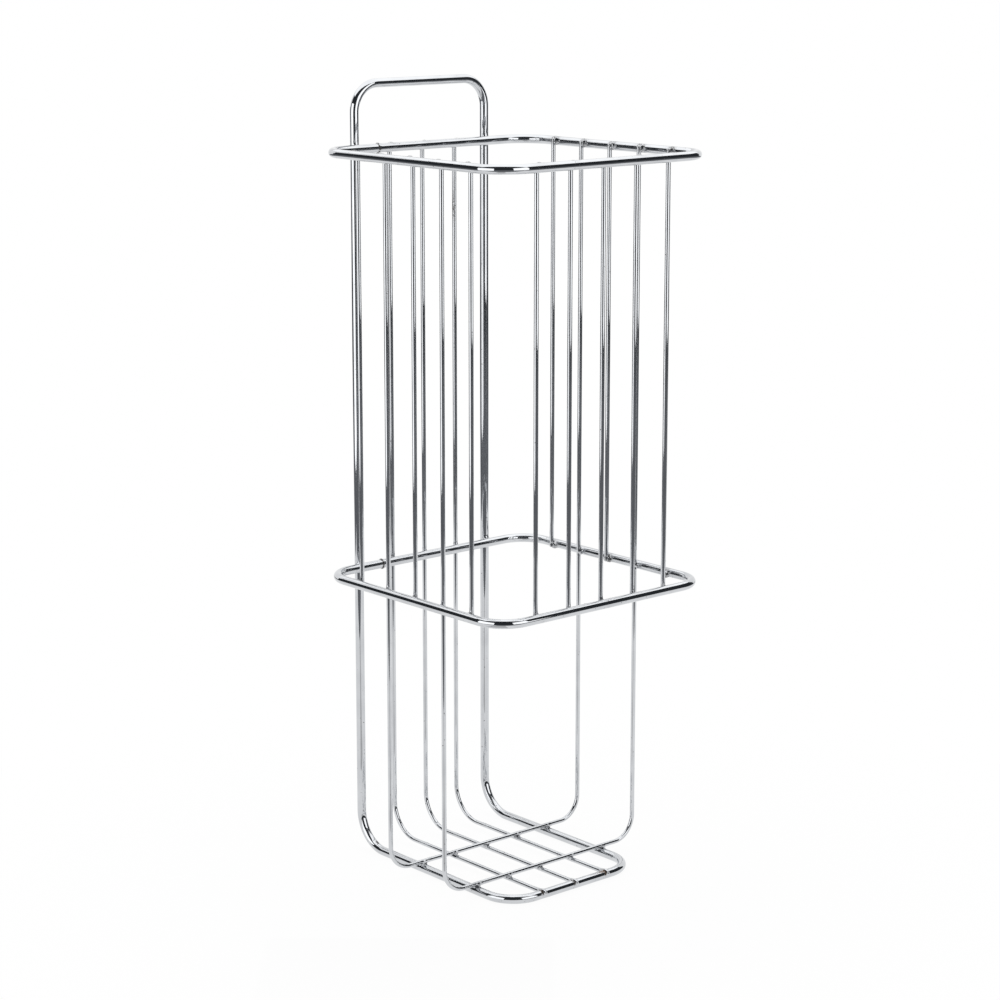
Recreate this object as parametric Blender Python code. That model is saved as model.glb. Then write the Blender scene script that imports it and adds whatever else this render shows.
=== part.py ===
"""Free-standing spare toilet roll holder, welded from bright chrome-plated steel wire.

One closed loop of heavy wire makes the carrying handle, the two back uprights and the
base. Two square rings of the same wire are welded to the front of the uprights. Thin
wires, welded to the rings and to the base, make the cage that keeps the rolls stacked.
Lengths are in metres, +Z is up, -Y is the front, and the origin is on the floor in the
middle of the holder's footprint.
"""

import math

import bmesh
import bpy
from mathutils import Vector

# Wire diameters, and the gap that stands for a weld between two wires
HEAVY_WIRE = 0.005
THIN_WIRE = 0.0025
SEAT_GAP = 0.0003

# Rings, measured over the outside of the wire, with the bend radius on its centreline
RING_WIDTH = 0.153
RING_DEPTH = 0.153
RING_BEND_RADIUS = 0.017

# Heights of the rings above the floor, and of the handle above the top ring, on centrelines
MIDDLE_RING_HEIGHT = 0.1665
TOP_RING_HEIGHT = 0.4005
HANDLE_RISE = 0.035

# Main frame, on its centreline
UPRIGHT_SPACING = 0.093
BASE_DEPTH = 0.1295
HANDLE_BEND_RADIUS = 0.0155
FOOT_BEND_RADIUS = 0.020
BASE_CORNER_RADIUS = 0.018

# Thin cage wires: their number, spacing and bends, and how far an end passes a ring's middle
BACK_WIRES = ("left", "middle", "right")
FRONT_WIRES = 5
CAGE_SPACING = 0.0232
BACK_WIRE_BEND_RADIUS = 0.019
CRADLE_BEND_RADIUS = 0.0135
WIRE_END_OVERRUN = 0.0015

# Facets round each wire and steps in each bend, which set how fine the model is
HEAVY_FACETS = 12
THIN_FACETS = 8
BEND_STEPS = 6

# Finish of the plated wire, and the crease above which an edge stays sharp
CHROME_COLOUR = (0.82, 0.83, 0.84, 1.0)
CHROME_ROUGHNESS = 0.08
CHROME_METALLIC = 1.0
SHARP_ANGLE = math.radians(50)

X_AXIS = Vector((1, 0, 0))
Y_AXIS = Vector((0, 1, 0))
Z_AXIS = Vector((0, 0, 1))

# Places worked out from the sizes above
HEAVY_RADIUS = HEAVY_WIRE / 2
THIN_RADIUS = THIN_WIRE / 2
RING_HALF_WIDTH = RING_WIDTH / 2 - HEAVY_RADIUS
RING_HALF_DEPTH = RING_DEPTH / 2 - HEAVY_RADIUS
RING_MIDDLE_Y = -(HEAVY_WIRE + SEAT_GAP) / 2
RING_FRONT_Y = RING_MIDDLE_Y - RING_HALF_DEPTH
RING_BACK_Y = RING_MIDDLE_Y + RING_HALF_DEPTH
UPRIGHT_X = UPRIGHT_SPACING / 2
UPRIGHT_Y = RING_BACK_Y + HEAVY_WIRE + SEAT_GAP
BASE_FRONT_Y = UPRIGHT_Y - BASE_DEPTH
RAIL_HEIGHT = HEAVY_RADIUS
HANDLE_HEIGHT = TOP_RING_HEIGHT + HANDLE_RISE

# How far apart the centrelines are of a thin wire and the heavy wire that it is welded to
SEAT = HEAVY_RADIUS + SEAT_GAP + THIN_RADIUS

# The cradle wires lie on the base rails, and the back wires pass just under them
CRADLE_HEIGHT = RAIL_HEIGHT + SEAT
BACK_WIRE_HEIGHT = CRADLE_HEIGHT - THIN_WIRE - SEAT_GAP
WIRE_TOP = TOP_RING_HEIGHT + WIRE_END_OVERRUN
WIRE_BOTTOM = MIDDLE_RING_HEIGHT - WIRE_END_OVERRUN


def clear_scene():
    """Remove what the open file holds, so that only the holder is left."""
    for old in list(bpy.data.objects):
        bpy.data.objects.remove(old, do_unlink=True)


def chrome_material(name):
    """Bright decorative chrome plate."""
    material = bpy.data.materials.new(name)
    material.use_nodes = True
    shader = material.node_tree.nodes["Principled BSDF"]
    shader.inputs["Base Color"].default_value = CHROME_COLOUR
    shader.inputs["Roughness"].default_value = CHROME_ROUGHNESS
    shader.inputs["Metallic"].default_value = CHROME_METALLIC
    material.diffuse_color = CHROME_COLOUR
    return material


def quarter_bend(corner, radius, arriving, leaving):
    """Stations along the quarter circle that rounds a square corner of a wire.

    A station is a point of the centreline and the wire's direction there.
    """
    centre = corner + (leaving - arriving) * radius
    stations = []
    for step in range(BEND_STEPS + 1):
        angle = math.pi / 2 * step / BEND_STEPS
        outwards = arriving * math.sin(angle) - leaving * math.cos(angle)
        direction = arriving * math.cos(angle) + leaving * math.sin(angle)
        stations.append((centre + outwards * radius, direction))
    return stations


def bent_route(corners, radii, closed=False):
    """Stations of a wire through square corners, each rounded by its own radius.

    The first and last corners of an open route are the two ends of the wire, so their
    radii are not used.
    """
    last = len(corners) - 1
    stations = []
    for index, corner in enumerate(corners):
        following = corners[0] if index == last else corners[index + 1]
        arriving = (corner - corners[index - 1]).normalized()
        leaving = (following - corner).normalized()
        if closed or 0 < index < last:
            stations += quarter_bend(corner, radii[index], arriving, leaving)
        else:
            stations.append((corner, arriving if index else leaving))
    return stations


def carry(side, direction, next_direction):
    """Turn a sideways direction with the wire, without letting it twist."""
    return direction.rotation_difference(next_direction) @ side


def wire_section(mesh, centre, direction, side, radius, facets):
    """Vertices round the wire, with a flat facet square to the sideways direction."""
    across = direction.cross(side)
    reach = radius / math.cos(math.pi / facets)
    vertices = []
    for index in range(facets):
        angle = 2 * math.pi * (index + 0.5) / facets
        offset = side * math.cos(angle) + across * math.sin(angle)
        vertices.append(mesh.verts.new(centre + offset * reach))
    return vertices


def skin_between(mesh, section, next_section, turned=0):
    """Facets between neighbouring sections, the second one turned by some facets."""
    count = len(section)
    for index in range(count):
        here = index + turned
        mesh.faces.new((
            section[index],
            section[(index + 1) % count],
            next_section[(here + 1) % count],
            next_section[here % count],
        ))


def sweep_wire(stations, first_side, radius, facets, closed):
    """Mesh of one wire, either closed on itself or with a flat cut at each end."""
    mesh = bmesh.new()
    side = first_side
    sections = []
    for index, (centre, direction) in enumerate(stations):
        if index:
            side = carry(side, stations[index - 1][1], direction)
        sections.append(wire_section(mesh, centre, direction, side, radius, facets))
    for section, next_section in zip(sections, sections[1:]):
        skin_between(mesh, section, next_section)
    if closed:
        first_direction = stations[0][1]
        side = carry(side, stations[-1][1], first_direction)
        turn = math.atan2(side.dot(first_direction.cross(first_side)), side.dot(first_side))
        skin_between(mesh, sections[-1], sections[0], round(turn * facets / (2 * math.pi)))
    else:
        mesh.faces.new(reversed(sections[0]))
        mesh.faces.new(sections[-1])
    bmesh.ops.recalc_face_normals(mesh, faces=mesh.faces)
    return mesh


def add_wire(name, stations, first_side, radius, facets, material, closed=False):
    """One wire as its own object, its origin in the middle of its centreline."""
    origin = sum((centre for centre, _ in stations), Vector()) / len(stations)
    local = [(centre - origin, direction) for centre, direction in stations]
    mesh = sweep_wire(local, first_side, radius, facets, closed)
    data = bpy.data.meshes.new(name)
    mesh.to_mesh(data)
    mesh.free()
    data.shade_smooth()
    data.set_sharp_from_angle(angle=SHARP_ANGLE)
    data.materials.append(material)
    wire = bpy.data.objects.new(name, data)
    wire.location = origin
    bpy.context.scene.collection.objects.link(wire)


def add_heavy_wire(name, corners, radii, first_side, material):
    """Loop of heavy wire through these corners, its ends butt-welded together."""
    stations = bent_route(corners, radii, closed=True)
    add_wire(name, stations, first_side, HEAVY_RADIUS, HEAVY_FACETS, material, closed=True)


def add_thin_wire(name, corners, radii, first_side, material):
    """Thin wire from the first of these corners to the last."""
    stations = bent_route(corners, radii)
    add_wire(name, stations, first_side, THIN_RADIUS, THIN_FACETS, material)


def add_main_frame(material):
    """Handle, uprights and base: one loop of heavy wire, bent six times."""
    corners = [
        Vector((UPRIGHT_X, UPRIGHT_Y, HANDLE_HEIGHT)),
        Vector((UPRIGHT_X, UPRIGHT_Y, RAIL_HEIGHT)),
        Vector((UPRIGHT_X, BASE_FRONT_Y, RAIL_HEIGHT)),
        Vector((-UPRIGHT_X, BASE_FRONT_Y, RAIL_HEIGHT)),
        Vector((-UPRIGHT_X, UPRIGHT_Y, RAIL_HEIGHT)),
        Vector((-UPRIGHT_X, UPRIGHT_Y, HANDLE_HEIGHT)),
    ]
    radii = [
        HANDLE_BEND_RADIUS,
        FOOT_BEND_RADIUS,
        BASE_CORNER_RADIUS,
        BASE_CORNER_RADIUS,
        FOOT_BEND_RADIUS,
        HANDLE_BEND_RADIUS,
    ]
    add_heavy_wire("main_frame", corners, radii, Y_AXIS, material)


def add_ring(name, height, material):
    """Square ring with rounded corners, which goes round the rolls."""
    corners = [
        Vector((RING_HALF_WIDTH, RING_BACK_Y, height)),
        Vector((RING_HALF_WIDTH, RING_FRONT_Y, height)),
        Vector((-RING_HALF_WIDTH, RING_FRONT_Y, height)),
        Vector((-RING_HALF_WIDTH, RING_BACK_Y, height)),
    ]
    radii = [RING_BEND_RADIUS] * len(corners)
    add_heavy_wire(name, corners, radii, Z_AXIS, material)


def add_back_wires(material):
    """Wires down the back that turn forward under the rolls to the base's front bar."""
    wire_y = RING_BACK_Y + SEAT
    front_y = BASE_FRONT_Y + HEAVY_RADIUS + SEAT_GAP
    spacing = UPRIGHT_SPACING / (len(BACK_WIRES) + 1)
    for place, side in enumerate(BACK_WIRES, start=1):
        x = place * spacing - UPRIGHT_X
        corners = [
            Vector((x, wire_y, WIRE_TOP)),
            Vector((x, wire_y, BACK_WIRE_HEIGHT)),
            Vector((x, front_y, BACK_WIRE_HEIGHT)),
        ]
        radii = [0, BACK_WIRE_BEND_RADIUS, 0]
        add_thin_wire(f"back_wire_{side}", corners, radii, X_AXIS, material)


def add_cradle_wires(material):
    """Two U-shaped wires, down one side, across the base under the rolls and up again."""
    reach = RING_HALF_WIDTH - SEAT
    for place, side in ((-1, "front"), (1, "rear")):
        y = RING_MIDDLE_Y + place * CAGE_SPACING
        corners = [
            Vector((-reach, y, WIRE_TOP)),
            Vector((-reach, y, CRADLE_HEIGHT)),
            Vector((reach, y, CRADLE_HEIGHT)),
            Vector((reach, y, WIRE_TOP)),
        ]
        radii = [0, CRADLE_BEND_RADIUS, CRADLE_BEND_RADIUS, 0]
        add_thin_wire(f"cradle_wire_{side}", corners, radii, Y_AXIS, material)


def add_straight_wire(name, x, y, material):
    """Thin wire that stands between the two rings."""
    ends = [Vector((x, y, WIRE_BOTTOM)), Vector((x, y, WIRE_TOP))]
    add_thin_wire(name, ends, [0, 0], X_AXIS, material)


def add_side_wires(material):
    """Three wires on each side, between the legs of the cradle wires and beside them."""
    reach = RING_HALF_WIDTH - SEAT
    for x, side in ((-reach, "left"), (reach, "right")):
        for place, where in ((-2, "front"), (0, "middle"), (2, "rear")):
            y = RING_MIDDLE_Y + place * CAGE_SPACING
            add_straight_wire(f"side_wire_{side}_{where}", x, y, material)


def add_front_wires(material):
    """Wires across the front, above the opening that the rolls are taken out of."""
    y = RING_FRONT_Y + SEAT
    for place in range(FRONT_WIRES):
        x = (place - (FRONT_WIRES - 1) / 2) * CAGE_SPACING
        add_straight_wire(f"front_wire_{place + 1}", x, y, material)


def main():
    clear_scene()
    add_main_frame(chrome_material("frame_chrome"))
    ring_material = chrome_material("ring_chrome")
    add_ring("top_ring", TOP_RING_HEIGHT, ring_material)
    add_ring("middle_ring", MIDDLE_RING_HEIGHT, ring_material)
    cage_material = chrome_material("cage_chrome")
    add_back_wires(cage_material)
    add_cradle_wires(cage_material)
    add_side_wires(cage_material)
    add_front_wires(cage_material)


main()
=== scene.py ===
"""Looks of the free-standing spare toilet roll holder: bright chrome wire and its welds.

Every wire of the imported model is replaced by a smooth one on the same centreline. Where
two wires meet, both swell into a weld fillet. Lengths are in metres, +Z is up and -Y is
the holder's front, as in the model.
"""

import itertools
import math
from dataclasses import dataclass, field
from typing import NamedTuple

import bpy
import numpy as np
from mathutils import Matrix, Vector


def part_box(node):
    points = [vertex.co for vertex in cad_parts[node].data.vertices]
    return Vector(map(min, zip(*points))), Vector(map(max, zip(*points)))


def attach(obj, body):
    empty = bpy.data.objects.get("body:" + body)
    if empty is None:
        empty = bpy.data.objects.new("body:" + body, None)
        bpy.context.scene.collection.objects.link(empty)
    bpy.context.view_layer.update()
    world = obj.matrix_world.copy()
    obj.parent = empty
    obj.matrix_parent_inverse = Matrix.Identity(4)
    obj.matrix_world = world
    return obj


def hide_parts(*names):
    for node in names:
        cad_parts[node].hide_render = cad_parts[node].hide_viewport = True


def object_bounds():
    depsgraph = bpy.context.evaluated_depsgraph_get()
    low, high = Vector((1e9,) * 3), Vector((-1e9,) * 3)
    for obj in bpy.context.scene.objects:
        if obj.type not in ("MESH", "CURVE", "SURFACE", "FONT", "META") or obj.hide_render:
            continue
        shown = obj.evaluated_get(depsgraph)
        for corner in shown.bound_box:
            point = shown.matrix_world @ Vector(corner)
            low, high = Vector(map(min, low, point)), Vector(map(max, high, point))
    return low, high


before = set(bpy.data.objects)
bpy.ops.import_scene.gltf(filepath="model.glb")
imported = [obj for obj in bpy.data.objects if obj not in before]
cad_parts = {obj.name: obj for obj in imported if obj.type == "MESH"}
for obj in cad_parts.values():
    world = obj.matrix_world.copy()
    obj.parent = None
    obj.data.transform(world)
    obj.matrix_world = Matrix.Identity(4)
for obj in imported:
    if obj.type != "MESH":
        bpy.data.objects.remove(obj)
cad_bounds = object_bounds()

X_AXIS = Vector((1, 0, 0))
Y_AXIS = Vector((0, 1, 0))
Z_AXIS = Vector((0, 0, 1))

FRONT_WIRES = 5

# Bend radii on the centrelines
RING_BEND_RADIUS = 0.017
HANDLE_BEND_RADIUS = 0.0155
FOOT_BEND_RADIUS = 0.020
BASE_CORNER_RADIUS = 0.018
BACK_WIRE_BEND_RADIUS = 0.019
CRADLE_BEND_RADIUS = 0.0135

# How far the pressed ends of the back wires reach over the base's front bar
PRESSED_END_LENGTH = 0.0023

# Fineness of the wire meshes, and how finely they follow the welds
HEAVY_SIDES = 48
THIN_SIDES = 24
BEND_STEPS = 20
LONG_STEP = 0.010
WELD_STEP = 0.00025
WELD_REACH = 0.004
END_EDGE = 0.0004
END_STEPS = 4

# Weld fillets: their size for each pair of wires, and the lumps of the weld metal. Two rods
# cross where the square of the sine of their angle is at least this.
CROSSING_SQUARE = 0.5
WELD_GAP = 0.0004
HEAVY_FILLET = 0.0024
MIXED_FILLET = 0.0017
THIN_FILLET = 0.0014
LUMP_HEIGHT = 0.00010
LUMP_LENGTH = 0.0024
LUMP_SPREAD = 0.0014
LUMP_WAVES = 4
DEEPEST_SWELL = 0.0022
SWELL_ROUNDS = 30
SLOPE_STEP = 0.00002

# Metal squeezed out where a thin wire ends on a heavy bar
FLASH_WITHIN = 0.0045
FLASH_ALONG_BAR = 0.0027
FLASH_ALONG_WIRE = 0.0021
FLASH_ACROSS = 0.0021
FLASH_INSET = 0.0005
FLASH_TO_END = 0.0005
FLASH_UNEVEN = 0.15
FLASH_SHIFT = 0.0005
FLASH_FILLET = 0.0004

# Pressed ends of the back wires, which bend over the base's front bar: places from the bar's
# axis, and the radius of the end at each
PRESSED_PATH = (
    (Vector((0, 0.0050, 0.00125)), 0.00125),
    (Vector((0, 0.0014, 0.00155)), 0.00125),
    (Vector((0.0002, -0.0006, 0.00185)), 0.00134),
    (Vector((0.0004, -0.0016, 0.00140)), 0.00132),
    (Vector((0.0004, -0.0020, 0.00080)), 0.00110),
)
PRESSED_FILLET = 0.0003
PRESSED_HEAT = 0.15

# Butt welds that close the rings: how far left of the middle they are, and their raised collar
COLLAR_PLACE = 0.0345
COLLAR_HEIGHT = 0.00050
COLLAR_LENGTH = 0.0008

# Tarnish: how strong it is at a weld, a lump and a butt weld, and how far it spreads
WELD_HEAT = (0.2, 0.75)
FLASH_HEAT = (1.5, 2.5)
HEAT_SPREAD = 0.0024
COLLAR_HEAT = 4.0
COLLAR_HEAT_SHIFT = -0.0007
COLLAR_HEAT_SPREAD = 0.00035

RANDOM_SEED = 7


@dataclass
class Rod:
    """Straight run of a wire. An end that goes on into a bend is infinitely far away."""

    start: Vector
    direction: Vector
    low: float
    high: float
    radius: float

    def distance(self, points):
        """Signed distance of points to the rod's surface, whose real ends have a small edge."""
        offset = points - np.array(self.start)
        axis = np.array(self.direction)
        along = offset @ axis
        radial = np.linalg.norm(offset - along[:, None] * axis, axis=1)
        out = radial - self.radius + END_EDGE
        beyond = np.maximum(self.low - along, along - self.high) + END_EDGE
        corner = np.hypot(np.maximum(out, 0), np.maximum(beyond, 0))
        return corner + np.minimum(np.maximum(out, beyond), 0) - END_EDGE


@dataclass
class Lump:
    """Ellipsoid of weld metal, which runs into the wires with a fillet."""

    centre: Vector
    half_size: Vector
    fillet: float

    def distance(self, points):
        """Near enough the signed distance to the ellipsoid."""
        offset = points - np.array(self.centre)
        size = np.array(self.half_size)
        scaled = np.linalg.norm(offset / size, axis=1)
        steep = np.linalg.norm(offset / size**2, axis=1)
        return scaled * (scaled - 1) / np.maximum(steep, 1 / size.max())


@dataclass
class PressedEnd:
    """End of a wire bent over a bar: rounded rods along a path, with a radius at each corner."""

    path: list
    radii: list
    fillet: float

    def distance(self, points):
        """Signed distance to the chain of rods."""
        nearest = np.full(len(points), np.inf)
        for index in range(len(self.path) - 1):
            start = np.array(self.path[index])
            rod = np.array(self.path[index + 1]) - start
            share = np.clip((points - start) @ rod / (rod @ rod), 0, 1)
            radius = self.radii[index] + share * (self.radii[index + 1] - self.radii[index])
            off = np.linalg.norm(points - start - share[:, None] * rod, axis=1)
            nearest = smooth_union(nearest, off - radius, self.fillet) if index else off - radius
        return nearest


@dataclass
class StainAndShade:
    """Spot of tarnish, rust or painted crevice shade: its place from a point of the wires, and its
    reach on each axis.
    """

    point: str
    offset: tuple
    reach: tuple
    tarnish_and_shade: float
    rust: float = 0


# The single marks of the photographed holder, from the points of points_of_the_marks
STAINS_AND_SHADE = (
    # The first three entries, at the feet, paint shade into the crevice along the left of each pressed
    # end, tinged with rust.
    StainAndShade("left_foot", (-0.0013, -0.0010, 0.0019), (0.0006, 0.0019, 0.0013), 5, 0.1),
    StainAndShade("middle_foot", (-0.0013, -0.0010, 0.0019), (0.0006, 0.0019, 0.0013), 5, 0.1),
    StainAndShade("right_foot", (-0.0013, -0.0010, 0.0019), (0.0006, 0.0019, 0.0013), 5, 0.6),
    StainAndShade("right_foot", (-0.0029, -0.0007, 0.0024), (0.0011, 0.0007, 0.0008), 3, 1),
    StainAndShade("left_rail", (0.0005, -0.0132, 0.0038), (0.0006, 0.0006, 0.0006), 3),
    StainAndShade("left_rail", (-0.0001, -0.0145, 0.0034), (0.0006, 0.0006, 0.0006), 4),
    StainAndShade("right_back_wire", (0, 0, 0.3772), (0.0020, 0.0020, 0.0008), 2, 0.2),
    StainAndShade("right_back_wire", (-0.0010, 0, 0.3650), (0.0008, 0.0020, 0.0075), 1.1, 0.1),
    StainAndShade("right_back_wire", (0, 0, 0.2125), (0.0020, 0.0020, 0.0180), 0.35, 1),
    StainAndShade("middle_ring_front", (-0.030, -0.0020, -0.0012), (0.0006, 0.0006, 0.0006), 2.5),
    StainAndShade("middle_ring_front", (0.0065, -0.0020, -0.0005), (0.0006, 0.0006, 0.0006), 2.5),
)


@dataclass
class Weld:
    """Place where two wires meet, with the shape of the metal round it."""

    place: Vector
    rods: tuple
    fillet: float
    waves: list
    heat: float
    hottest: Vector
    extras: list = field(default_factory=list)

    def distance(self, points):
        """Signed distance to the smooth union of the two wires and their weld metal."""
        union = smooth_union(self.rods[0].distance(points), self.rods[1].distance(points), self.fillet)
        for extra in self.extras:
            union = smooth_union(union, extra.distance(points), extra.fillet)
        offset = points - np.array(self.place)
        nearness = np.exp(-np.sum(offset**2, axis=1) / (2 * LUMP_SPREAD**2))
        lumps = sum(np.sin(offset @ wave + phase) for wave, phase in self.waves)
        return union - LUMP_HEIGHT * nearness * lumps


@dataclass
class Wire:
    """One bent wire: the corners of its centreline, each with its bend radius."""

    name: str
    corners: list
    radii: list
    radius: float
    first_side: Vector
    closed: bool = False
    collar: Vector = None
    welds: list = field(default_factory=list)

    def runs(self):
        """The straight runs between the bends, as rods."""
        count = len(self.corners)
        rods = []
        for index in range(count if self.closed else count - 1):
            after = (index + 1) % count
            direction = (self.corners[after] - self.corners[index]).normalized()
            start = self.corners[index] + direction * self.radii[index]
            end = self.corners[after] - direction * self.radii[after]
            length = (end - start).length
            low = 0 if not self.closed and index == 0 else -math.inf
            high = length if not self.closed and after == count - 1 else math.inf
            rods.append((Rod(start, direction, low, high, self.radius), length))
        return rods


class Section(NamedTuple):
    """Cross-section of a wire, whose normals lean along the wire by the tilt."""

    centre: Vector
    direction: Vector
    side: Vector
    radius: float
    tilt: float


def smooth_union(first, second, size):
    """Smaller of two distances, rounded off where they are alike to within a size."""
    share = np.maximum(size - np.abs(first - second), 0) / size
    return np.minimum(first, second) - share**2 * size / 4


def wires_of_the_model():
    """The wires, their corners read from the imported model's boxes."""
    low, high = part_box("top_ring")
    heavy = (high.z - low.z) / 2
    low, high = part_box("front_wire_1")
    thin = (high.x - low.x) / 2
    wires = [main_frame(heavy), ring("top_ring", heavy), ring("middle_ring", heavy)]
    for side in ("left", "middle", "right"):
        wires.append(back_wire(f"back_wire_{side}", thin))
    for side in ("front", "rear"):
        wires.append(cradle_wire(f"cradle_wire_{side}", thin))
    for side in ("left", "right"):
        for where in ("front", "middle", "rear"):
            wires.append(straight_wire(f"side_wire_{side}_{where}", thin))
    for number in range(1, FRONT_WIRES + 1):
        wires.append(straight_wire(f"front_wire_{number}", thin))
    return wires


def main_frame(radius):
    """Handle, uprights and base: one loop of heavy wire."""
    low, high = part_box("main_frame")
    left, right = low.x + radius, high.x - radius
    front, back = low.y + radius, high.y - radius
    rail, handle = low.z + radius, high.z - radius
    corners = [
        Vector((right, back, handle)),
        Vector((right, back, rail)),
        Vector((right, front, rail)),
        Vector((left, front, rail)),
        Vector((left, back, rail)),
        Vector((left, back, handle)),
    ]
    radii = [
        HANDLE_BEND_RADIUS,
        FOOT_BEND_RADIUS,
        BASE_CORNER_RADIUS,
        BASE_CORNER_RADIUS,
        FOOT_BEND_RADIUS,
        HANDLE_BEND_RADIUS,
    ]
    return Wire("main_frame", corners, radii, radius, Y_AXIS, closed=True)


def ring(name, radius):
    """Square ring with rounded corners and a butt weld in its back bar."""
    low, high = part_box(name)
    left, right = low.x + radius, high.x - radius
    front, back = low.y + radius, high.y - radius
    height = (low.z + high.z) / 2
    corners = [
        Vector((right, back, height)),
        Vector((right, front, height)),
        Vector((left, front, height)),
        Vector((left, back, height)),
    ]
    radii = [RING_BEND_RADIUS] * len(corners)
    collar = Vector((-COLLAR_PLACE, back, height))
    return Wire(name, corners, radii, radius, Z_AXIS, closed=True, collar=collar)


def back_wire(name, radius):
    """Wire down the back and forward along the floor, its end pressed on the front bar."""
    low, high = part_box(name)
    x = (low.x + high.x) / 2
    back = high.y - radius
    floor = low.z + radius
    corners = [
        Vector((x, back, high.z)),
        Vector((x, back, floor)),
        Vector((x, low.y - PRESSED_END_LENGTH, floor)),
    ]
    return Wire(name, corners, [0, BACK_WIRE_BEND_RADIUS, 0], radius, X_AXIS)


def cradle_wire(name, radius):
    """U-shaped wire, down one side, under the rolls and up the other side."""
    low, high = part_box(name)
    left, right = low.x + radius, high.x - radius
    y = (low.y + high.y) / 2
    floor = low.z + radius
    corners = [
        Vector((left, y, high.z)),
        Vector((left, y, floor)),
        Vector((right, y, floor)),
        Vector((right, y, high.z)),
    ]
    return Wire(name, corners, [0, CRADLE_BEND_RADIUS, CRADLE_BEND_RADIUS, 0], radius, Y_AXIS)


def straight_wire(name, radius):
    """Upright thin wire between the two rings."""
    low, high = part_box(name)
    middle = (low + high) / 2
    corners = [Vector((middle.x, middle.y, low.z)), Vector((middle.x, middle.y, high.z))]
    return Wire(name, corners, [0, 0], radius, X_AXIS)


def nearest_places(first, first_length, second, second_length):
    """Distances along two crossing rods at which they come closest to each other."""
    between = second.start - first.start
    cosine = first.direction.dot(second.direction)
    square = 1 - cosine**2
    if square < CROSSING_SQUARE:
        return None
    along_first = (between.dot(first.direction) - between.dot(second.direction) * cosine) / square
    along_first = min(max(along_first, 0), first_length)
    along_second = (first.start + first.direction * along_first - second.start).dot(second.direction)
    along_second = min(max(along_second, 0), second_length)
    return along_first, along_second


def meetings(first, second):
    """Where two wires touch: the rod of each there, and the nearest point of each centreline."""
    for first_rod, first_length in first.runs():
        for second_rod, second_length in second.runs():
            places = nearest_places(first_rod, first_length, second_rod, second_length)
            if places is None:
                continue
            first_point = first_rod.start + first_rod.direction * places[0]
            second_point = second_rod.start + second_rod.direction * places[1]
            gap = (first_point - second_point).length - first.radius - second.radius
            if gap < WELD_GAP:
                yield first_rod, second_rod, first_point, second_point


def weld_wires(wires, random):
    """Give both wires their weld at every place where two of them touch, heavy wires first."""
    heavy = wires[0].radius
    for first, second in itertools.combinations(wires, 2):
        for first_rod, second_rod, first_point, second_point in meetings(first, second):
            heavies = (first.radius == heavy) + (second.radius == heavy)
            fillet = (THIN_FILLET, MIXED_FILLET, HEAVY_FILLET)[heavies]
            place = first_point.lerp(second_point, first.radius / (first.radius + second.radius))
            heat = random.uniform(*WELD_HEAT)
            weld = Weld(place, (first_rod, second_rod), fillet, lump_waves(random), heat, place)
            ends = [corner - second_point for corner in (second.corners[0], second.corners[-1])]
            nearest_end = min(ends, key=lambda end: end.length)
            if heavies == 1 and nearest_end.length < FLASH_WITHIN:
                inwards = (first_point - second_point).normalized()
                to_end = nearest_end.normalized()
                lump = flash(weld, inwards, to_end, random)
                weld.extras.append(lump)
                weld.heat = random.uniform(*FLASH_HEAT)
                weld.hottest = lump.centre
            first.welds.append(weld)
            second.welds.append(weld)


def flash(weld, inwards, to_end, random):
    """Uneven lump of squeezed-out metal round the end of a thin wire on a heavy bar."""
    bar, wire = weld.rods
    size = Vector()
    for direction, length in (
        (bar.direction, FLASH_ALONG_BAR),
        (wire.direction, FLASH_ALONG_WIRE),
        (bar.direction.cross(wire.direction), FLASH_ACROSS),
    ):
        length *= random.uniform(1 - FLASH_UNEVEN, 1 + FLASH_UNEVEN)
        size += Vector([abs(part) for part in direction]) * length
    shift = random.uniform(-FLASH_SHIFT, FLASH_SHIFT)
    centre = weld.place + inwards * FLASH_INSET + to_end * FLASH_TO_END + bar.direction * shift
    return Lump(centre, size, FLASH_FILLET)


def lump_waves(random):
    """A few waves in random directions, whose sum makes weld metal uneven."""
    waves = []
    for _ in range(LUMP_WAVES):
        direction = random.normal(size=3)
        direction /= np.linalg.norm(direction)
        waves.append((direction * 2 * math.pi / LUMP_LENGTH, random.uniform(0, 2 * math.pi)))
    return waves


def press_back_wire_ends(wires):
    """Bend the end of each back wire over the base's front bar, at its weld."""
    frame_wire = wires[0]
    front = min(corner.y for corner in frame_wire.corners)
    rail = min(corner.z for corner in frame_wire.corners)
    for wire in wires:
        if wire.name.startswith("back_wire"):
            end = wire.corners[-1]
            bar_axis = Vector((end.x, front, rail))
            path = [bar_axis + place for place, _ in PRESSED_PATH]
            radii = [radius for _, radius in PRESSED_PATH]
            for weld in wire.welds:
                if (weld.place - end).length < 2 * frame_wire.radius:
                    weld.extras = [PressedEnd(path, radii, PRESSED_FILLET)]
                    weld.heat = PRESSED_HEAT


def points_of_the_marks(wires):
    """The points from which the single marks are placed."""
    frame_wire, _, middle_ring = wires[:3]
    front = min(corner.y for corner in frame_wire.corners)
    back = max(corner.y for corner in frame_wire.corners)
    left = min(corner.x for corner in frame_wire.corners)
    rail = min(corner.z for corner in frame_wire.corners)
    top = next(wire for wire in wires if wire.name == "back_wire_right").corners[0]
    ring_front = min(corner.y for corner in middle_ring.corners)
    return {
        "left_foot": Vector((-top.x, front, rail)),
        "middle_foot": Vector((0, front, rail)),
        "right_foot": Vector((top.x, front, rail)),
        "left_rail": Vector((left, back, rail)),
        "right_back_wire": Vector((top.x, top.y, 0)),
        "middle_ring_front": Vector((0, ring_front, middle_ring.corners[0].z)),
    }


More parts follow.
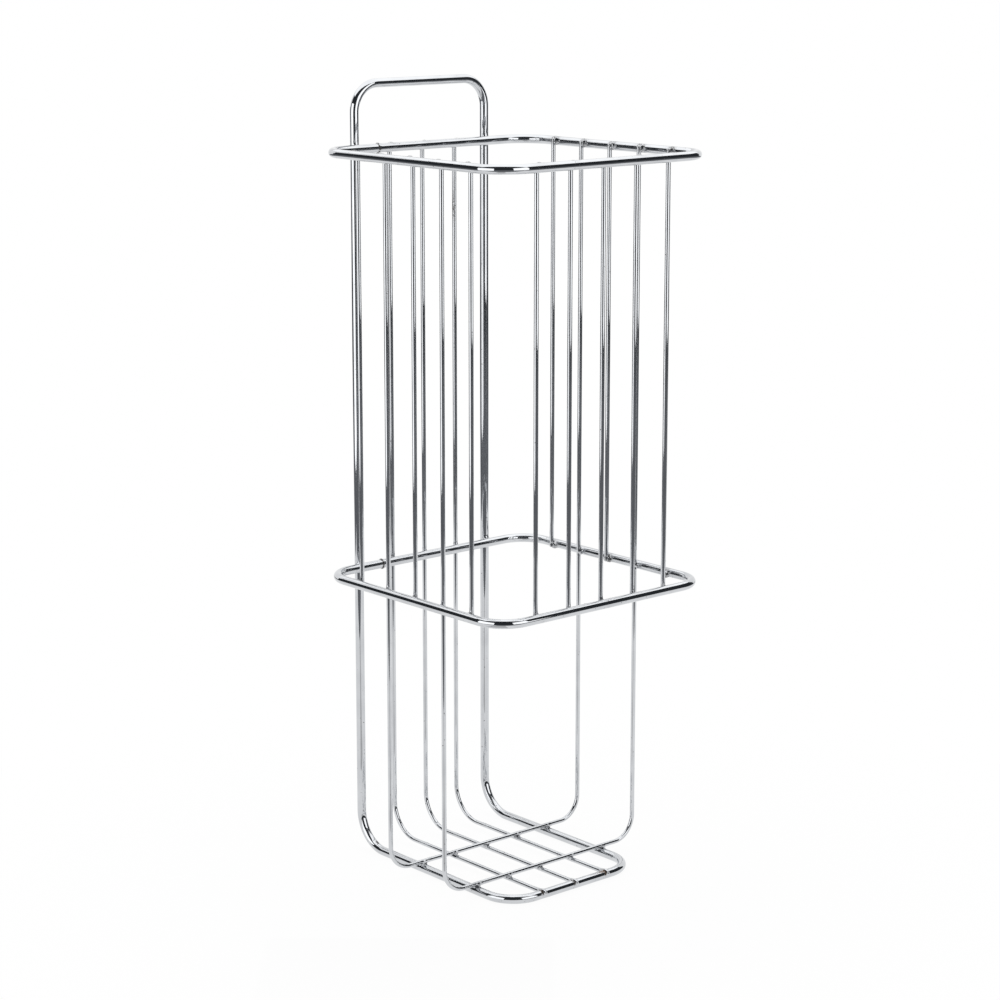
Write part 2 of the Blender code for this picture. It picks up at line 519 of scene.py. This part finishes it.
def run_places(rod, length, wire):
    """Distances along a run at which the wire gets a section, close together at its welds."""
    marks = [weld.place for weld in wire.welds]
    if wire.collar is not None:
        marks.append(wire.collar)
    near = []
    for mark in marks:
        along = (mark - rod.start).dot(rod.direction)
        off_axis = (mark - rod.start - rod.direction * along).length
        if off_axis < 2 * wire.radius and -WELD_REACH < along < length + WELD_REACH:
            near.append(along)
    places = [0.0, length]
    steps = max(round(length / LONG_STEP), 1)
    for step in range(1, steps):
        place = length * step / steps
        if all(abs(place - mark) > WELD_REACH + WELD_STEP for mark in near):
            places.append(place)
    fine = round(WELD_REACH / WELD_STEP)
    for mark in near:
        for step in range(-fine, fine + 1):
            place = mark + step * WELD_STEP
            if WELD_STEP / 2 < place < length - WELD_STEP / 2:
                places.append(place)
    return sorted(places)


def sections_of(wire):
    """Sections along a wire, and the sideways direction with which the last run arrives."""
    runs = wire.runs()
    found = []
    side = wire.first_side
    for index, (rod, length) in enumerate(runs):
        opens = not wire.closed and index == 0
        closes = not wire.closed and index == len(runs) - 1
        if opens:
            found += end_sections(rod.start, rod.direction, side, wire.radius, -1)
        for place in run_places(rod, length, wire):
            if (opens and place < END_EDGE) or (closes and place > length - END_EDGE):
                continue
            centre = rod.start + rod.direction * place
            found.append(Section(centre, rod.direction, side, wire.radius, 0))
        if closes:
            end = rod.start + rod.direction * length
            found += reversed(end_sections(end, rod.direction, side, wire.radius, 1))
            continue
        leaving = runs[(index + 1) % len(runs)][0].direction
        bend_start = rod.start + rod.direction * length
        bend_radius = wire.radii[(index + 1) % len(wire.radii)]
        pivot = bend_start + leaving * bend_radius
        axis = rod.direction.cross(leaving)
        for step in range(1, BEND_STEPS):
            turn = Matrix.Rotation(math.pi / 2 * step / BEND_STEPS, 3, axis)
            centre = pivot + turn @ (bend_start - pivot)
            found.append(Section(centre, turn @ rod.direction, turn @ side, wire.radius, 0))
        side = Matrix.Rotation(math.pi / 2, 3, axis) @ side
    return found, side


def end_sections(end, direction, side, radius, sense):
    """Sections of a rounded edge, from the flat face of an end to the full wire."""
    found = []
    for step in range(END_STEPS):
        angle = math.pi / 2 * step / END_STEPS
        inset = END_EDGE * (1 - math.cos(angle))
        width = radius - END_EDGE * (1 - math.sin(angle))
        tilt = sense * (math.pi / 2 - angle)
        found.append(Section(end - direction * sense * inset, direction, side, width, tilt))
    return found


def swept_surface(wire, sides):
    """Points and normals round the wire, section by section, before it swells at its welds."""
    found, last_side = sections_of(wire)
    centres = np.array([section.centre for section in found])
    directions = np.array([section.direction for section in found])
    first_sides = np.array([section.side for section in found])
    radii = np.array([section.radius for section in found])
    tilts = np.array([section.tilt for section in found])
    if wire.collar is not None:
        off = np.linalg.norm(centres - np.array(wire.collar), axis=1)
        radii = radii + COLLAR_HEIGHT * np.exp(-(off / COLLAR_LENGTH) ** 2)
    second_sides = np.cross(directions, first_sides)
    angles = 2 * math.pi * np.arange(sides) / sides
    outwards = (
        first_sides[:, None, :] * np.cos(angles)[None, :, None]
        + second_sides[:, None, :] * np.sin(angles)[None, :, None]
    )
    points = centres[:, None, :] + outwards * radii[:, None, None]
    normals = (
        outwards * np.cos(tilts)[:, None, None]
        + directions[:, None, :] * np.sin(tilts)[:, None, None]
    )
    turn = math.atan2(
        last_side.dot(Vector(directions[0]).cross(wire.first_side)),
        last_side.dot(wire.first_side),
    )
    return points, normals, round(turn * sides / (2 * math.pi))


def swell_at_welds(wire, points, normals):
    """Push the surface out to the weld metal."""
    for weld in wire.welds:
        off = np.linalg.norm(points - np.array(weld.place), axis=1)
        near = np.flatnonzero(off < WELD_REACH + wire.radius)
        start = points[near]
        outwards = normals[near]
        swell = np.zeros(len(near))
        for _ in range(SWELL_ROUNDS):
            reached = start + outwards * swell[:, None]
            swell = np.clip(swell - weld.distance(reached), 0, DEEPEST_SWELL)
        reached = start + outwards * swell[:, None]
        points[near] = reached
        slope = np.stack([
            weld.distance(reached + SLOPE_STEP * np.eye(3)[axis])
            - weld.distance(reached - SLOPE_STEP * np.eye(3)[axis])
            for axis in range(3)
        ], axis=1)
        length = np.linalg.norm(slope, axis=1)
        settled = (swell < DEEPEST_SWELL) & (length > SLOPE_STEP)
        normals[near[settled]] = slope[settled] / length[settled, None]


def tarnish_shade_and_rust(wire, points, mark_points):
    """Share of tarnish and painted crevice shade, and of rust, at each point of a wire."""
    tarnish_and_shade = np.zeros(len(points))
    rust = np.zeros(len(points))
    for weld in wire.welds:
        off = np.linalg.norm(points - np.array(weld.hottest), axis=1)
        tarnish_and_shade = np.maximum(tarnish_and_shade, weld.heat * np.exp(-(off / HEAT_SPREAD) ** 2))
    if wire.collar is not None:
        off = np.abs(points[:, 0] - wire.collar.x - COLLAR_HEAT_SHIFT)
        behind = points[:, 1] > wire.collar.y - 2 * wire.radius
        tarnish_and_shade = np.maximum(tarnish_and_shade, COLLAR_HEAT * behind * np.exp(-(off / COLLAR_HEAT_SPREAD) ** 2))
    # Stains, and the painted crevice shade at the feet
    for stain_and_shade in STAINS_AND_SHADE:
        place = mark_points[stain_and_shade.point] + Vector(stain_and_shade.offset)
        off = np.linalg.norm((points - np.array(place)) / np.array(stain_and_shade.reach), axis=1)
        tarnish_and_shade = np.maximum(tarnish_and_shade, stain_and_shade.tarnish_and_shade * np.exp(-off**2))
        rust = np.maximum(rust, stain_and_shade.rust * np.exp(-off**2 / 2))
    return tarnish_and_shade, rust


def wire_faces(sections, sides, closed, turned):
    """Quads between neighbouring sections; on an open wire also a fan at each end."""
    faces = []
    count = sections if closed else sections - 1
    for section in range(count):
        following = (section + 1) % sections
        shift = turned if following == 0 else 0
        for side in range(sides):
            after = (side + 1) % sides
            faces.append((
                section * sides + side,
                section * sides + after,
                following * sides + (after + shift) % sides,
                following * sides + (side + shift) % sides,
            ))
    if not closed:
        first_middle = sections * sides
        last = (sections - 1) * sides
        for side in range(sides):
            after = (side + 1) % sides
            faces.append((first_middle, after, side))
            faces.append((first_middle + 1, last + side, last + after))
    return faces


def add_wire(wire, sides, material, mark_points):
    """Smooth mesh of one wire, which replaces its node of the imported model."""
    surface, surface_normals, turned = swept_surface(wire, sides)
    sections = len(surface)
    points = surface.reshape(-1, 3)
    normals = surface_normals.reshape(-1, 3)
    if not wire.closed:
        points = np.vstack([points, surface[0].mean(axis=0), surface[-1].mean(axis=0)])
        first = np.array((wire.corners[0] - wire.corners[1]).normalized())
        last = np.array((wire.corners[-1] - wire.corners[-2]).normalized())
        normals = np.vstack([normals, first, last])
    swell_at_welds(wire, points, normals)
    points = np.clip(points, np.array(cad_bounds[0]), np.array(cad_bounds[1]))
    tarnish_and_shade, rust = tarnish_shade_and_rust(wire, points, mark_points)
    data = bpy.data.meshes.new(f"{wire.name}_chrome")
    faces = wire_faces(sections, sides, wire.closed, turned)
    data.from_pydata(points.tolist(), [], faces)
    data.shade_smooth()
    data.normals_split_custom_set_from_vertices(normals.tolist())
    for name, share in (("tarnish_and_shade", tarnish_and_shade), ("rust", rust)):
        layer = data.attributes.new(name, "FLOAT", "POINT")
        layer.data.foreach_set("value", share.astype(np.float32))
    data.materials.append(material)
    piece = bpy.data.objects.new(f"{wire.name}_chrome", data)
    bpy.context.scene.collection.objects.link(piece)
    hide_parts(wire.name)
    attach(piece, "root")


# Chrome plate. Each noise has a scale and a detail, and the range of it that is used.
CHROME_CLEAR = (0.62, 0.634, 0.654, 1)
CHROME_DULL = (0.55, 0.563, 0.584, 1)
# Dark colour of tarnish and pits, also used for the painted crevice shade at the feet
CHROME_TARNISH_AND_SHADE = (0.055, 0.05, 0.046, 1)
CHROME_RUST = (0.15, 0.075, 0.03, 1)
CHROME_ROUGHNESS = (0.02, 0.05)
TARNISH_ROUGHNESS = 0.35
TINT_NOISE = (70, 3)
TINT_RANGE = (0.3, 0.6)
TARNISH_AND_SHADE_NOISE = (1500, 4)
TARNISH_AND_SHADE_RANGE = (0.38, 0.58)
PIT_NOISE = (900, 1)
PIT_RANGE = (0.73, 0.79)
HAZE_NOISE = (900, 2)
HAZE_RANGE = (0.3, 0.7)
RIPPLE_NOISE = (260, 2)
RIPPLE_DEPTH = 0.00003
RIPPLE_STRENGTH = 0.05


def add_node(tree, kind, **values):
    """New shader node with values set on its properties or, by name, on its inputs."""
    node = tree.nodes.new(kind)
    for name, value in values.items():
        if hasattr(node, name):
            setattr(node, name, value)
        else:
            node.inputs[name.replace("_", " ")].default_value = value
    return node


def noise(tree, place, scale_and_detail):
    """Noise over the object, as an output."""
    scale, detail = scale_and_detail
    node = add_node(tree, "ShaderNodeTexNoise", Scale=scale, Detail=detail)
    tree.links.new(place, node.inputs["Vector"])
    return node.outputs["Fac"]


def spread(tree, value, used, result=(0, 1)):
    """The used range of a value spread over a new range, and clamped to it."""
    node = add_node(tree, "ShaderNodeMapRange")
    for name, number in zip(("From Min", "From Max", "To Min", "To Max"), (*used, *result)):
        node.inputs[name].default_value = number
    tree.links.new(value, node.inputs["Value"])
    return node.outputs["Result"]


def combine(tree, operation, first, second):
    """Output of a math node on two outputs."""
    node = add_node(tree, "ShaderNodeMath", operation=operation)
    tree.links.new(first, node.inputs[0])
    tree.links.new(second, node.inputs[1])
    return node.outputs[0]


def mixed(tree, data_type, share, first, second):
    """Mix of two colours or numbers, each of them a value or an output."""
    node = add_node(tree, "ShaderNodeMix", data_type=data_type)
    tree.links.new(share, node.inputs["Factor"])
    for name, source in (("A", first), ("B", second)):
        if isinstance(source, bpy.types.NodeSocket):
            tree.links.new(source, node.inputs[name])
        else:
            node.inputs[name].default_value = source
    return node.outputs["Result"]


def chrome_material(name):
    """Bright chrome plate with a tint, pits and faint ripples, tarnished a little at the welds, with
    painted shade in the crevices at the feet.
    """
    material = bpy.data.materials.new(name)
    material.use_nodes = True
    tree = material.node_tree
    shader = tree.nodes["Principled BSDF"]
    shader.inputs["Metallic"].default_value = 1
    place = add_node(tree, "ShaderNodeTexCoord").outputs["Object"]
    # This layer also carries the painted crevice shade at the feet
    tarnish_and_shade_layer = add_node(tree, "ShaderNodeAttribute", attribute_name="tarnish_and_shade").outputs["Fac"]
    rust_layer = add_node(tree, "ShaderNodeAttribute", attribute_name="rust").outputs["Fac"]

    spots = spread(tree, noise(tree, place, TARNISH_AND_SHADE_NOISE), TARNISH_AND_SHADE_RANGE)
    at_welds = combine(tree, "MULTIPLY", tarnish_and_shade_layer, spots)
    pits = spread(tree, noise(tree, place, PIT_NOISE), PIT_RANGE)
    tarnish_and_shade = combine(tree, "MAXIMUM", at_welds, pits)

    clear_share = spread(tree, noise(tree, place, TINT_NOISE), TINT_RANGE)
    plate = mixed(tree, "RGBA", clear_share, CHROME_DULL, CHROME_CLEAR)
    stain_and_shade = mixed(tree, "RGBA", rust_layer, CHROME_TARNISH_AND_SHADE, CHROME_RUST)
    colour = mixed(tree, "RGBA", tarnish_and_shade, plate, stain_and_shade)
    tree.links.new(colour, shader.inputs["Base Color"])

    polish = spread(tree, noise(tree, place, HAZE_NOISE), HAZE_RANGE, CHROME_ROUGHNESS)
    roughness = mixed(tree, "FLOAT", tarnish_and_shade, polish, TARNISH_ROUGHNESS)
    tree.links.new(roughness, shader.inputs["Roughness"])

    bump = add_node(tree, "ShaderNodeBump", Strength=RIPPLE_STRENGTH, Distance=RIPPLE_DEPTH)
    tree.links.new(noise(tree, place, RIPPLE_NOISE), bump.inputs["Height"])
    tree.links.new(bump.outputs["Normal"], shader.inputs["Normal"])
    return material


# Camera, placed from the middle of the rings
CAMERA_AZIMUTH = math.radians(-40.918)
CAMERA_PITCH = math.radians(11.417)
CAMERA_DISTANCE = 1.3996
CAMERA_SIDEWAYS = -0.0077
CAMERA_HEIGHT = 0.5185
CAMERA_FOCAL_SHARE = 2.6095
CAMERA_SHIFT_Y = -0.045
SENSOR_WIDTH = 36


def holder_middle():
    """Point on the floor under the middle of the rings."""
    low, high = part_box("middle_ring")
    return Vector(((low.x + high.x) / 2, (low.y + high.y) / 2, cad_bounds[0].z))


def add_camera():
    """Camera at the photograph's viewing angle."""
    forward = Vector((-math.sin(CAMERA_AZIMUTH), math.cos(CAMERA_AZIMUTH), 0))
    right = Vector((math.cos(CAMERA_AZIMUTH), math.sin(CAMERA_AZIMUTH), 0))
    place = holder_middle() - forward * CAMERA_DISTANCE + right * CAMERA_SIDEWAYS
    place += Z_AXIS * CAMERA_HEIGHT
    view = forward * math.cos(CAMERA_PITCH) - Z_AXIS * math.sin(CAMERA_PITCH)
    above = Z_AXIS * math.cos(CAMERA_PITCH) + forward * math.sin(CAMERA_PITCH)
    turn = Matrix((right, above, -view)).transposed()
    data = bpy.data.cameras.new("camera")
    data.sensor_width = SENSOR_WIDTH
    data.lens = CAMERA_FOCAL_SHARE * SENSOR_WIDTH
    data.shift_y = CAMERA_SHIFT_Y
    camera = bpy.data.objects.new("camera", data)
    camera.matrix_world = Matrix.Translation(place) @ turn.to_4x4()
    bpy.context.scene.collection.objects.link(camera)
    bpy.context.scene.camera = camera


# Table under the holder, square to the camera, and where the shadow on it fades out
TABLE_TO_CAMERA = 0.42
TABLE_HALF_WIDTH = 0.80
TABLE_BEHIND = 1.70
TABLE_COLOUR = (0.90, 0.915, 0.94, 1)
SHADOW_WITHIN = 0.12
SHADOW_GONE = 0.36
SHADOW_VEIL = 0.95

# Light cards and backdrop. A standing card lies between two directions round the holder,
# measured to the right from the camera's side. The overhead panel's corners are given as
# distances to the right and towards the camera.
LEFT_BOX = (math.radians(-81), math.radians(-28))
RIGHT_BOX = (math.radians(27), math.radians(77))
LEFT_WING = (math.radians(-135), math.radians(-107))
BOX_DISTANCE = 1.0
LEFT_BOX_BOTTOM = 0.025
RIGHT_BOX_BOTTOM = 0.156
LEFT_BOX_TOP = 0.83
RIGHT_BOX_TOP = 1.0
LEFT_BOX_STRENGTH = 1.72
RIGHT_BOX_STRENGTH = 1.69
LEFT_WING_BOTTOM = 0.55
LEFT_WING_STRENGTH = 1.10
PANEL_HEIGHT = 1.0
PANEL_CORNERS = ((-0.70, 0.20), (0.80, 0.27), (0.95, -1.0), (-1.05, -1.0))
PANEL_STRENGTH = 1.50
BACKDROP_DISTANCE = 1.70
BACKDROP_LEFT = 3.6
BACKDROP_RIGHT = 2.2
BACKDROP_HEIGHT = 1.7
BACKDROP_STRENGTH = 1.0

# Dimmer strip lying on the table between the holder and the camera
STRIP_LEFT = -0.13
STRIP_RIGHT = 0.02
STRIP_NEAR = 0.11
STRIP_FAR = 0.42
STRIP_HEIGHT = 0.001
STRIP_STRENGTH = 0.6

# Room round the studio. Its floor's colour turns into its wall's between two heights, given as
# the z of a direction of length 1.
ROOM_HALF_SIZE = 50
ROOM_COLOUR = (0.028, 0.031, 0.035, 1)
ROOM_FLOOR_COLOUR = (0.15, 0.155, 0.165, 1)
HORIZON = (-0.175, -0.13)


def studio_directions():
    """Level directions from the holder to the camera, and to the right of that."""
    towards = Vector((math.sin(CAMERA_AZIMUTH), -math.cos(CAMERA_AZIMUTH), 0))
    right = Vector((math.cos(CAMERA_AZIMUTH), math.sin(CAMERA_AZIMUTH), 0))
    return towards, right


def add_stage_piece(name, middle, corners, faces, material):
    """Piece of the studio from its corners, measured from its middle."""
    data = bpy.data.meshes.new(name)
    data.from_pydata(corners, [], faces)
    data.materials.append(material)
    piece = bpy.data.objects.new(name, data)
    piece.location = middle
    bpy.context.scene.collection.objects.link(piece)
    return piece


def add_flat_piece(name, middle, corners, material):
    """Flat piece of the studio from the corners round it."""
    return add_stage_piece(name, middle, corners, [tuple(range(len(corners)))], material)


def rectangle(across, upwards):
    """Corners of a rectangle from its two half sides."""
    return [-across - upwards, across - upwards, across + upwards, upwards - across]


def level_rectangle(left, right, near, far):
    """Corners of a level rectangle, from its sides and from its edges towards the camera."""
    towards, to_the_right = studio_directions()
    return [
        to_the_right * left + towards * near,
        to_the_right * right + towards * near,
        to_the_right * right + towards * far,
        to_the_right * left + towards * far,
    ]


def light_material(name, strength):
    """Even white light."""
    material = bpy.data.materials.new(name)
    material.use_nodes = True
    tree = material.node_tree
    tree.nodes.clear()
    glow = add_node(tree, "ShaderNodeEmission", Strength=strength)
    output = add_node(tree, "ShaderNodeOutputMaterial")
    tree.links.new(glow.outputs["Emission"], output.inputs["Surface"])
    return material


def add_light_card(name, middle, corners, strength):
    """Evenly lit card, which the wires show and the camera looks through."""
    card = add_flat_piece(name, middle, corners, light_material(name, strength))
    card.visible_camera = False


def add_standing_card(name, directions, bottom, top, strength):
    """Upright light card between two directions round the holder."""
    towards, right = studio_directions()
    first, last = directions
    middle_direction = (first + last) / 2
    outwards = towards * math.cos(middle_direction) + right * math.sin(middle_direction)
    across = right * math.cos(middle_direction) - towards * math.sin(middle_direction)
    middle = holder_middle() + outwards * BOX_DISTANCE + Z_AXIS * (bottom + top) / 2
    half_width = BOX_DISTANCE * math.tan((last - first) / 2)
    corners = rectangle(across * half_width, Z_AXIS * (top - bottom) / 2)
    add_light_card(name, middle, corners, strength)


def table_material():
    """Pale table top: white with the holder's shadow, to the camera and in the wires alike."""
    material = bpy.data.materials.new("table")
    material.use_nodes = True
    tree = material.node_tree
    link = tree.links.new
    top = tree.nodes["Principled BSDF"]
    top.inputs["Base Color"].default_value = TABLE_COLOUR
    shaded = add_node(tree, "ShaderNodeBsdfDiffuse", Color=(1, 1, 1, 1))
    white = add_node(tree, "ShaderNodeEmission", Strength=1)
    veiled = add_node(tree, "ShaderNodeMixShader", Fac=SHADOW_VEIL)
    link(shaded.outputs["BSDF"], veiled.inputs[1])
    link(white.outputs["Emission"], veiled.inputs[2])
    place = add_node(tree, "ShaderNodeTexCoord")
    distance = add_node(tree, "ShaderNodeVectorMath", operation="LENGTH")
    link(place.outputs["Object"], distance.inputs[0])
    seen = add_node(tree, "ShaderNodeMixShader")
    link(spread(tree, distance.outputs["Value"], (SHADOW_WITHIN, SHADOW_GONE)), seen.inputs["Fac"])
    link(veiled.outputs["Shader"], seen.inputs[1])
    link(white.outputs["Emission"], seen.inputs[2])
    path = add_node(tree, "ShaderNodeLightPath")
    shown = path.outputs["Is Camera Ray"]
    for kind in ("Is Glossy Ray", "Is Transmission Ray"):
        shown = combine(tree, "MAXIMUM", shown, path.outputs[kind])
    surface = add_node(tree, "ShaderNodeMixShader")
    link(shown, surface.inputs["Fac"])
    link(top.outputs["BSDF"], surface.inputs[1])
    link(seen.outputs["Shader"], surface.inputs[2])
    link(surface.outputs["Shader"], tree.nodes["Material Output"].inputs["Surface"])
    return material


def add_studio():
    """Table, backdrop and light cards."""
    towards, right = studio_directions()
    centre = holder_middle()
    table = level_rectangle(-TABLE_HALF_WIDTH, TABLE_HALF_WIDTH, TABLE_TO_CAMERA, -TABLE_BEHIND)
    add_flat_piece("table", centre, table, table_material())
    strip = level_rectangle(STRIP_LEFT, STRIP_RIGHT, STRIP_NEAR, STRIP_FAR)
    add_light_card("front_strip", centre + Z_AXIS * STRIP_HEIGHT, strip, STRIP_STRENGTH)
    panel = [right * across + towards * forwards for across, forwards in PANEL_CORNERS]
    add_light_card("overhead_panel", centre + Z_AXIS * PANEL_HEIGHT, panel, PANEL_STRENGTH)
    add_standing_card("left_softbox", LEFT_BOX, LEFT_BOX_BOTTOM, LEFT_BOX_TOP, LEFT_BOX_STRENGTH)
    add_standing_card("right_softbox", RIGHT_BOX, RIGHT_BOX_BOTTOM, RIGHT_BOX_TOP, RIGHT_BOX_STRENGTH)
    add_standing_card("left_wing", LEFT_WING, LEFT_WING_BOTTOM, PANEL_HEIGHT, LEFT_WING_STRENGTH)
    backdrop = [
        -right * BACKDROP_LEFT,
        right * BACKDROP_RIGHT,
        right * BACKDROP_RIGHT + Z_AXIS * BACKDROP_HEIGHT,
        Z_AXIS * BACKDROP_HEIGHT - right * BACKDROP_LEFT,
    ]
    add_light_card("backdrop", centre - towards * BACKDROP_DISTANCE, backdrop, BACKDROP_STRENGTH)


def room_material():
    """Dim walls and a slightly lighter floor, parted by the direction in which they are seen."""
    material = bpy.data.materials.new("room")
    material.use_nodes = True
    tree = material.node_tree
    tree.nodes.clear()
    link = tree.links.new
    place = add_node(tree, "ShaderNodeTexCoord")
    direction = add_node(tree, "ShaderNodeVectorMath", operation="NORMALIZE")
    link(place.outputs["Object"], direction.inputs[0])
    parts = add_node(tree, "ShaderNodeSeparateXYZ")
    link(direction.outputs["Vector"], parts.inputs["Vector"])
    wall_share = spread(tree, parts.outputs["Z"], HORIZON)
    glow = add_node(tree, "ShaderNodeEmission", Strength=1)
    link(mixed(tree, "RGBA", wall_share, ROOM_FLOOR_COLOUR, ROOM_COLOUR), glow.inputs["Color"])
    output = add_node(tree, "ShaderNodeOutputMaterial")
    link(glow.outputs["Emission"], output.inputs["Surface"])
    return material


def add_room():
    """Dim room round the studio, which the wires show and the camera looks through."""
    corners = [Vector(signs) * ROOM_HALF_SIZE for signs in itertools.product((-1, 1), repeat=3)]
    walls = [(0, 1, 3, 2), (4, 5, 7, 6), (0, 1, 5, 4), (2, 3, 7, 6), (0, 2, 6, 4), (1, 3, 7, 5)]
    room = add_stage_piece("room", holder_middle(), corners, walls, room_material())
    room.visible_camera = False


def add_world():
    """White background."""
    world = bpy.data.worlds.new("white")
    world.use_nodes = True
    tree = world.node_tree
    tree.nodes.clear()
    white = add_node(tree, "ShaderNodeBackground", Color=(1, 1, 1, 1), Strength=1)
    output = add_node(tree, "ShaderNodeOutputWorld")
    tree.links.new(white.outputs["Background"], output.inputs["Surface"])
    bpy.context.scene.world = world
    bpy.context.scene.view_settings.view_transform = "Standard"


def main():
    """Build the holder, the camera and the studio."""
    wires = wires_of_the_model()
    weld_wires(wires, np.random.default_rng(RANDOM_SEED))
    press_back_wire_ends(wires)
    mark_points = points_of_the_marks(wires)
    heavy = wires[0].radius
    heavy_chrome = chrome_material("heavy_wire_chrome")
    thin_chrome = chrome_material("thin_wire_chrome")
    for wire in wires:
        if wire.radius == heavy:
            add_wire(wire, HEAVY_SIDES, heavy_chrome, mark_points)
        else:
            add_wire(wire, THIN_SIDES, thin_chrome, mark_points)
    add_camera()
    add_studio()
    add_room()
    add_world()


main()
